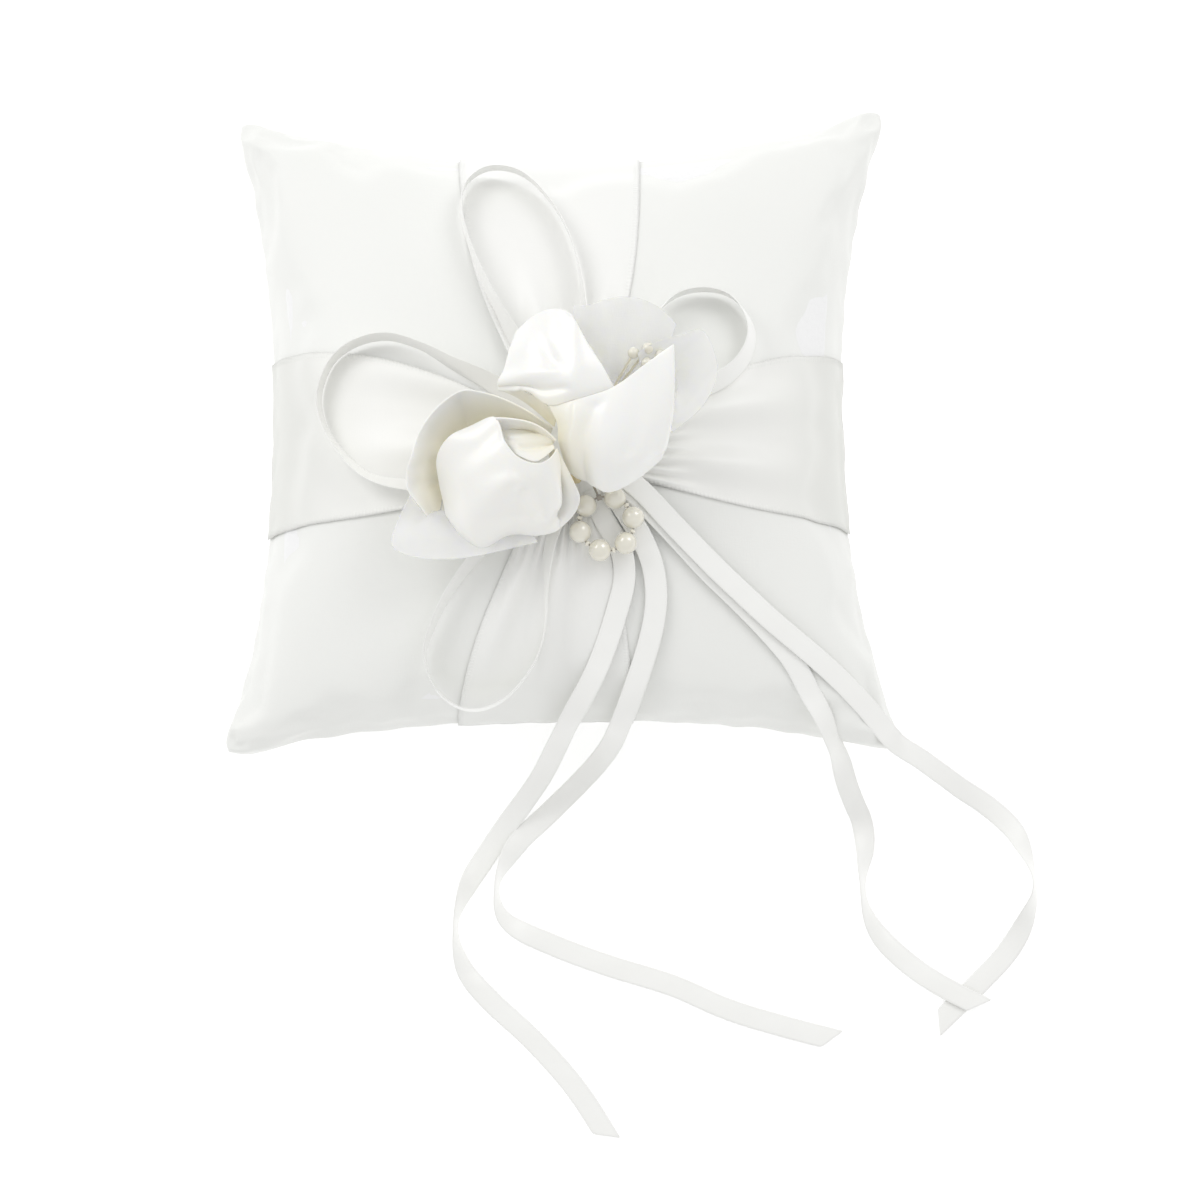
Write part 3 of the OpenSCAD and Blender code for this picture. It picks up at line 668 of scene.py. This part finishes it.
def form_petal(name, net, look, flat, thickness=0.5, folds=()):
    """A petal draped through a net of places: each row runs across, rim first. Flat is the
    cloth it is cut from. Folds are (from u, v, to u, v, width, height in mm), u and v from
    -1 to 1 over the petal."""
    fine = 7
    rows = len(net)
    across_n = len(net[0])
    bm = bmesh.new()
    bmesh.ops.create_grid(bm, x_segments=fine * (across_n - 1),
                          y_segments=fine * (rows - 1), size=1)
    cloth = bm.loops.layers.uv.new("cloth")
    for face in bm.faces:
        for loop in face.loops:
            loop[cloth].uv = (loop.vert.co.x * flat[0] / 2, loop.vert.co.y * flat[1] / 2)
    spread = [(vertex.co.x, vertex.co.y) for vertex in bm.verts]
    for vertex in bm.verts:
        i = (1 - vertex.co.y) / 2 * (rows - 1)
        j = (vertex.co.x + 1) / 2 * (across_n - 1)
        vertex.co = on_curve([on_curve(row, j) for row in net], i) * mm
    bmesh.ops.recalc_face_normals(bm, faces=bm.faces)
    bm.normal_update()
    start = len(name) * 1.7
    for vertex, (u, v) in zip(bm.verts, spread):
        ripple = noise.noise(Vector((u * 1.3 + start, v * 1.3, 0))) * min(flat) / 50
        for fold in folds:
            a = Vector(fold[0:2])
            along = Vector(fold[2:4]) - a
            t = min(max((Vector((u, v)) - a).dot(along) / along.length_squared, 0), 1)
            away = (Vector((u, v)) - a - along * t).length
            ripple += fold[5] * math.exp(-(away / (fold[4] * (1.1 - 0.6 * t))) ** 2)
        facing = 1 if vertex.normal.z > 0 else -1
        vertex.co += vertex.normal * ripple * facing * mm
    piece = finish_piece(name + "_cloth", bm, look)
    thicken(piece, thickness, 1)
    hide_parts(name)
    return piece


rose_bud_core_net = [
    [(-16, -13.5, 69.5), (-11.5, -14, 70), (-7, -14.5, 70), (-2, -16.5, 71)],
    [(-14.5, -17.5, 71), (-10.5, -18.5, 72), (-7, -18.5, 72.2), (-1.5, -18, 72.3)],
    [(-13, -20, 71), (-10, -22.5, 73.5), (-5.5, -24, 73.5), (-1, -20, 72.5)]]
form_petal("rose_bud_core", rose_bud_core_net, rose_look, (16, 11),
           folds=[(1, -0.1, -0.3, -0.2, 0.22, -1.6), (0.9, 0.6, -0.6, 0.3, 0.2, 0.8)])
rose_left_petal_net = [
    [(-1.5, -12.5, 66), (-10.5, -7.5, 70), (-20.5, -4, 71), (-29, -5.5, 71), (-36, -13, 70),
     (-40, -23, 69), (-39, -29.5, 66), (-35, -35, 61)],
    [(-1.5, -12.5, 64), (-11, -9, 66), (-20, -6, 66), (-26.5, -6.5, 65), (-32.5, -12.5, 64),
     (-36.5, -21, 63), (-36, -27.5, 61), (-33.5, -33, 58)],
    [(-2, -12.5, 60), (-11, -11, 60), (-18, -10, 59), (-23, -10.5, 58), (-28, -14.5, 57.5),
     (-31, -21, 57), (-31, -27, 56.5), (-30.5, -32, 56)]]
form_petal("rose_left_petal", rose_left_petal_net, rose_cup_look, (57, 12),
           folds=[(-0.3, 1, -0.1, -1, 0.10, -0.8), (0.35, 1, 0.3, -1, 0.10, 0.8),
                  (0.7, 1, 0.6, -1, 0.08, -0.8)])
rose_front_petal_net = [
    [(-23, -13, 70), (-16.5, -11.5, 73.5), (-14, -18.5, 75), (-10, -23.5, 75.5),
     (-4.5, -24.5, 75), (-0.5, -20, 73)],
    [(-29, -15.5, 68.5), (-21.5, -19, 72.5), (-16.5, -24.5, 74), (-10.5, -28, 74),
     (-4.5, -28, 73.5), (0.5, -24, 71)],
    [(-32.5, -20.5, 65), (-26, -26, 69.5), (-18, -30, 71.5), (-11, -32.5, 71.5),
     (-3.5, -31.5, 70.5), (0.5, -28, 68)],
    [(-32, -27, 61), (-25, -33, 65), (-17, -36, 67), (-9.5, -37, 67), (-3, -35.5, 66),
     (0.5, -32.5, 64)],
    [(-30, -32.5, 58.5), (-23, -39, 60.5), (-15, -39.5, 62), (-8.5, -38.5, 62), (-3, -37.5, 61),
     (-0.5, -35, 60)],
    [(-29.5, -33, 57), (-21.5, -42.5, 57), (-14, -40.5, 57.5), (-6, -39.5, 57.5),
     (-0.5, -38, 57), (1, -36, 57)]]
form_petal("rose_front_petal", rose_front_petal_net, rose_look, (36, 29),
           folds=[(-0.9, -0.9, 0.1, 0.5, 0.24, 1.2), (-0.1, -1, 0.25, 0.3, 0.2, -1.0),
                  (0.3, 1, 0.55, -0.3, 0.22, -1.1), (0.8, 1, 0.85, -0.2, 0.16, 0.8),
                  (-1, -0.3, -0.4, 0.9, 0.2, -0.8)])
rose_right_petal_net = [
    [(-0.5, -19.5, 70), (1.5, -23, 69), (4, -27.5, 66), (5.5, -31, 63), (4, -34.5, 60),
     (0.5, -37.5, 57.5)],
    [(-1, -19.5, 70.5), (0, -24, 69), (2, -28, 65.5), (3, -31, 62), (2, -34.5, 59.5),
     (-1.5, -38, 57)],
    [(-2.5, -19.5, 69), (-2, -24, 67), (0, -28, 63), (0.5, -31, 60), (-0.5, -34, 58),
     (-4, -37.5, 56.5)]]
form_petal("rose_right_petal", rose_right_petal_net, rose_look, (25, 10))
rose_bud_wrap_net = [
    [(-16.5, -12, 74.5), (-12, -12.5, 75), (-7.5, -13.5, 75), (-3.5, -15.5, 74.5),
     (-0.5, -18, 73)],
    [(-16, -13, 72.5), (-11.5, -13.5, 72), (-7.5, -14, 72), (-4, -16, 71.5), (-1, -18, 71.5)],
    [(-15, -14.5, 69), (-11.5, -14, 68), (-7.5, -14.5, 67.5), (-4.5, -16, 67.5), (-1.5, -18, 69)]]
form_petal("rose_bud_wrap", rose_bud_wrap_net, rose_look, (16, 10))
rose_organza_petal_net = [
    [(-38.5, -26.5, 60), (-44.5, -40, 58), (-41, -44.5, 57.5), (-31, -46, 57.5),
     (-21.5, -45, 57.5), (-5.5, -41.5, 57.5)],
    [(-35.5, -28.5, 58), (-38.5, -37, 58.5), (-34, -40, 58.5), (-28, -40.5, 58),
     (-20, -40, 57.5), (-7.5, -38, 57)],
    [(-30.5, -29, 56.5), (-29.5, -32, 56.5), (-27, -34, 56.5), (-23, -34.5, 56),
     (-17, -34.5, 56), (-8, -34.5, 56)]]
form_petal("rose_organza_petal", rose_organza_petal_net, organza_look, (41, 13),
           thickness=0.15)

# ---- Blossom ----
# An open flower beside the rose: smooth ivory petals to the left and front, sheer ones
# behind and to the right, cut and glued in the same way.
blossom_left_petal_net = [
    [(-11, 14, 66), (-7.5, 17.5, 69), (-3, 18.5, 71), (1, 18, 73), (4, 16, 74.5)],
    [(-13, 8.5, 67), (-7.5, 10, 71.5), (-2.5, 10, 74), (3, 9.5, 75.5), (7, 9.5, 75.5)],
    [(-14.5, 2.5, 67), (-8, 3, 71.5), (-2, 2, 74.5), (4.5, 1.5, 76), (11.5, 2, 75.5)],
    [(-16, -1, 66.5), (-9.5, -2, 70), (-3.5, -4, 73), (5, -4.5, 75), (14, -2.5, 74.5)],
    [(-16, -0.5, 65), (-9, -2, 68.5), (-2.5, -8, 71.5), (5.5, -6.5, 73.5), (15, -4, 74)]]
form_petal("blossom_left_petal", blossom_left_petal_net, blossom_look, (28, 23),
           folds=[(-1, -0.75, 0.3, -0.45, 0.2, -1.2), (-1, -0.3, 0.1, -0.1, 0.22, 0.9),
                  (-0.5, 1, 0.1, 0.0, 0.3, -0.8), (0.9, 0.9, 0.4, -0.4, 0.25, 0.6)])
blossom_inner_petal_net = [
    [(-16, -1, 65.5), (-10.5, -2, 67), (-6.5, -4, 67.5), (-3.5, -6.5, 68.5), (-0.5, -9.5, 69)],
    [(-16, -1, 64.5), (-10, -4, 64), (-5.5, -7.5, 63.5), (-3, -10, 64), (-1, -12, 65)]]
form_petal("blossom_inner_petal", blossom_inner_petal_net, blossom_look, (19, 10))
blossom_front_petal_net = [
    [(-2.5, -8, 71), (1.5, -7.5, 72.5), (6.5, -6.5, 73.5), (14.5, -4, 75), (22.5, 1.5, 76.5),
     (30.5, 7, 77)],
    [(-0.5, -12.5, 70.5), (3, -12.5, 72.8), (7, -12, 73.8), (14.5, -10.5, 75),
     (22.5, -6.5, 75.5), (30.5, -1.5, 75)],
    [(0, -17, 68.5), (3.5, -17.5, 70.6), (7.5, -18, 72.2), (14.5, -17.5, 73.5),
     (22.5, -15.5, 73.5), (30, -10.5, 72)],
    [(2, -21.5, 65), (5, -22.5, 67), (8.5, -23, 68.7), (14.5, -23.5, 70), (22, -22, 70),
     (28.5, -17, 68)],
    [(4.5, -24.5, 61), (6.5, -26.5, 62), (9.5, -28, 62.5), (13.5, -29.5, 63), (20, -26.5, 64),
     (27, -20.5, 64)]]
form_petal("blossom_front_petal", blossom_front_petal_net, blossom_look, (32, 27),
           folds=[(-0.9, -0.7, -0.35, 0.8, 0.18, 0.9), (-0.55, -0.9, -0.05, 0.7, 0.2, -1.0),
                  (0.7, 1, 0.4, -0.3, 0.24, -0.7), (0.98, 1, 0.9, -0.6, 0.16, 0.9)])
blossom_organza_back_net = [
    [(4, 20, 70), (7.5, 20, 70), (14, 22, 70), (20.5, 22, 70), (27, 19.5, 69), (31.5, 15.5, 67)],
    [(4.5, 16, 68), (9, 15.5, 67.5), (14.5, 16.5, 67), (20.5, 16, 66.5), (26, 14, 66),
     (30, 11.5, 65.5)],
    [(7, 10, 64), (10.5, 9, 63), (15.5, 7.5, 62.5), (20.5, 7, 62), (24.5, 7, 62),
     (28.5, 7.5, 62.5)],
    [(11, 2.5, 60), (13.5, 2, 59.5), (16, 1.5, 59), (19, 1.5, 59), (22, 2, 59), (25, 2.5, 59.5)]]
form_petal("blossom_organza_back", blossom_organza_back_net, organza_look, (23, 21),
           thickness=0.15)
blossom_organza_right_net = [
    [(21, 7, 69), (26.5, 10, 70), (32, 11.5, 70), (38, 13.5, 68.5), (41.5, 8, 66),
     (42, 1.5, 63.5), (38, -6, 61), (30, -12.5, 59.5)],
    [(21.5, 4.5, 66), (26, 7, 66.5), (30.5, 8.5, 66), (35, 8.5, 65), (37.5, 5, 63.5),
     (37.5, 0.5, 61.5), (34.5, -4.5, 60), (28, -10.5, 59)],
    [(21.5, 2, 62), (24.5, 3, 62), (27.5, 4, 61.5), (30, 3.5, 61), (31.5, 1, 60.5), (31, -2, 60),
     (30, -5.5, 59.5), (26.5, -9, 58.5)]]
form_petal("blossom_organza_right", blossom_organza_right_net, organza_look, (38, 11),
           thickness=0.15)

# ---- Net pad and glue ----
# A pad of stiff net that both flowers are glued to, and a set drop of glue between them.
net = Nodes("stiff_net", (0.88, 0.88, 0.85), 0.7)
net.relief(net.grain(1800), 0.0002)
finish_node("flower_pad", net.material)

glue = Nodes("set_glue", (0.72, 0.60, 0.34), 0.18)
glue.tint(glue.grain(500), (0.55, 0.44, 0.22), (0.80, 0.70, 0.45))
glue.shader.inputs["Subsurface Weight"].default_value = 0.2
glue.shader.inputs["Subsurface Radius"].default_value = (0.001, 0.0008, 0.0004)
glue.shader.inputs["Coat Weight"].default_value = 0.4
low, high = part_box("glue_dab")
glue_bm = bmesh.new()
bmesh.ops.create_icosphere(glue_bm, subdivisions=4, radius=1)
for vertex in glue_bm.verts:
    lump = 1 + 0.12 * noise.noise(vertex.co * 1.7)
    for i in range(3):
        vertex.co[i] = (low[i] + high[i]) / 2 + vertex.co[i] * lump * (high[i] - low[i]) / 2
glue_dab = finish_piece("set_glue_dab", glue_bm, glue.material)
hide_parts("glue_dab")

# ---- Stamens ----
# Four waxed threads with a pearl glued on the end of each, standing between the petals.
wax = Nodes("waxed_thread", (0.84, 0.80, 0.66), 0.45)
wax.tint(wax.grain(900), (0.74, 0.69, 0.54), (0.88, 0.84, 0.72))
wax.relief(wax.grain(2200, stretch=(1, 1, 0.4)), 0.0001)


def pearl_coat(name):
    nodes = Nodes(name, (0.80, 0.77, 0.66), 0.22)
    nodes.shader.inputs["Specular IOR Level"].default_value = 0.9
    nodes.tint(nodes.grain(260, detail=3), (0.76, 0.725, 0.60), (0.85, 0.825, 0.73))
    nodes.shader.inputs["Coat Weight"].default_value = 1.0
    nodes.shader.inputs["Coat IOR"].default_value = 2.0
    nodes.shader.inputs["Coat Roughness"].default_value = 0.1
    nodes.shader.inputs["Subsurface Weight"].default_value = 0.1
    nodes.shader.inputs["Subsurface Radius"].default_value = (0.001, 0.0009, 0.0006)
    nodes.shader.inputs["Sheen Weight"].default_value = 0.15
    nodes.relief(nodes.grain(1200), 0.00003, 0.3)
    return nodes.material


pearl_look = pearl_coat("pearl")


def string_pearl(name, threaded, body, bore=0.07):
    """A round pearl with a drilled dimple at both ends of its thread"""
    low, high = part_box(name)
    centre = (low + high) / 2
    radius = max(high - low) / 2
    bm = bmesh.new()
    bmesh.ops.create_uvsphere(bm, u_segments=40, v_segments=28, radius=radius)
    turn = Vector((0, 0, 1)).rotation_difference(Vector(threaded)).to_matrix().to_4x4()
    for vertex in bm.verts:
        out = math.hypot(vertex.co.x, vertex.co.y) / radius
        if out < bore * 2:
            vertex.co.z *= 0.93 + 0.07 * out / (bore * 2)
    bmesh.ops.transform(bm, matrix=Matrix.Translation(centre) @ turn, verts=bm.verts)
    pearl = finish_piece(name + "_drilled", bm, pearl_look, body)
    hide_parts(name)
    return pearl


for i in range(1, 5):
    finish_node(f"stamen_stem_{i}", wax.material)
    stem_low, stem_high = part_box(f"stamen_stem_{i}")
    string_pearl(f"stamen_pearl_{i}", stem_high - stem_low, "pillow")

# ---- Pearl ring ----
# Six 6 mm pearls and five seed beads on a closed hoop of thin wire. The hoop turns in a
# wire eye under the flowers, so the ring can be lifted.
wire = Nodes("wire", (0.36, 0.33, 0.29), 0.42)
wire.shader.inputs["Metallic"].default_value = 0.85
wire.gloss(wire.grain(1500), 0.32, 0.55)
finish_node("ring_wire", wire.material)
finish_node("hanging_eye", wire.material)
seed = Nodes("seed_bead", (0.88, 0.85, 0.74), 0.15)
seed.tint(seed.grain(900), (0.82, 0.78, 0.66), (0.92, 0.90, 0.82))
seed.shader.inputs["Coat Weight"].default_value = 0.6
for i in range(1, 6):
    finish_node(f"seed_bead_{i}", seed.material)
ring_low, ring_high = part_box("ring_wire")
ring_centre = (ring_low + ring_high) / 2
ring_up = (Matrix.Rotation(math.radians(15), 3, "Z")
           @ Matrix.Rotation(math.radians(7), 3, "X") @ Vector((0, 0, 1)))
for i in range(1, 7):
    low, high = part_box(f"ring_pearl_{i}")
    spoke = (low + high) / 2 - ring_centre
    string_pearl(f"ring_pearl_{i}", ring_up.cross(spoke), "pearl_ring")
